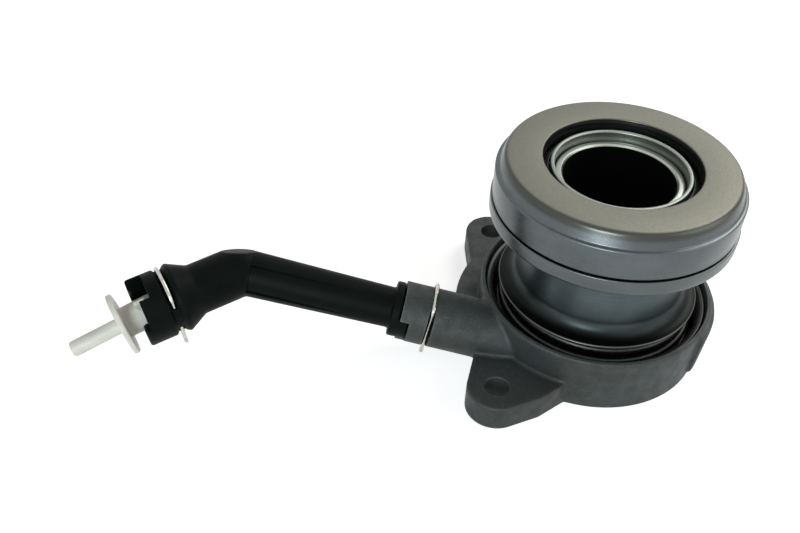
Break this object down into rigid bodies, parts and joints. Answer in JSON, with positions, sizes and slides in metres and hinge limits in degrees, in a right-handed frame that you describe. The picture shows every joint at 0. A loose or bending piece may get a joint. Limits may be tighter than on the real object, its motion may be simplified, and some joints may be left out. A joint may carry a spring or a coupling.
{
  "type": "concentric clutch cylinder",
  "caption": "Hydraulic clutch release cylinder: a release bearing on a ring piston, in a cast housing with bolt lugs, and a plastic pipe with a quick-fit connector.",
  "frame": {"origin": "on the bore's axis, in the plane of the face that bolts to the gearbox", "axes": "+Z along the bore out of the gearbox, towards the clutch; -X is the side that the arm and pipe leave on"},
  "size_m": [0.191, 0.0889, 0.0633],
  "materials": {
    "cast_aluminium": "rough die casting, darkened",
    "bearing_steel": "ground and oiled",
    "tube_steel": "drawn, satin",
    "shroud_steel": "dark pressed sheet",
    "wire_steel": "bright drawn wire",
    "spring_steel": "dark oiled spring wire",
    "ball_steel": "polished",
    "pipe_plastic": "moulded, glass-filled",
    "piston_plastic": "moulded, hard",
    "cage_plastic": "moulded",
    "seal_rubber": "smooth",
    "plug_plastic": "milky, smooth"
  },
  "bodies": {
    "housing": {"housing": "cast_aluminium", "guide_tube": "tube_steel", "tube_seal": "seal_rubber", "dust_seal": "seal_rubber", "preload_spring": "spring_steel", "pipe": "pipe_plastic", "pipe_seal": "seal_rubber", "arm_clip": "wire_steel", "line_clip": "wire_steel", "transport_plug": "plug_plastic"},
    "piston": {"piston": "piston_plastic", "piston_seal": "seal_rubber", "support_ring": "piston_plastic", "shroud": "shroud_steel", "bearing_plate": "bearing_steel", "bearing_sleeve": "tube_steel", "centring_spring": "wire_steel", "inner_ring": "bearing_steel", "face_seal": "seal_rubber"},
    "outer_ring": {"outer_ring": "bearing_steel"},
    "cage": {"cage": "cage_plastic", "ball_01": "ball_steel", "ball_02": "ball_steel", "ball_03": "ball_steel", "ball_04": "ball_steel", "ball_05": "ball_steel", "ball_06": "ball_steel", "ball_07": "ball_steel", "ball_08": "ball_steel", "ball_09": "ball_steel", "ball_10": "ball_steel", "ball_11": "ball_steel", "ball_12": "ball_steel", "ball_13": "ball_steel", "ball_14": "ball_steel"}
  },
  "joints": [
    {"name": "piston_slide", "type": "slide", "parent": "housing", "child": "piston", "axis": [0, 0, 1], "range_m": [-0.0125, 0], "stiffness_N_per_m": 1500, "springref_m": 0.02, "deforming": ["preload_spring"]},
    {"name": "bearing_spin", "type": "hinge", "parent": "piston", "child": "outer_ring", "pos_m": [0, 0, 0.055], "axis": [0, 0, 1], "continuous": true},
    {"name": "cage_spin", "type": "hinge", "parent": "piston", "child": "cage", "pos_m": [0, 0, 0.055], "axis": [0, 0, 1], "continuous": true}
  ],
  "couplings": [
    {"joint": "cage_spin", "follows": "bearing_spin", "ratio": 0.5376}
  ]
}
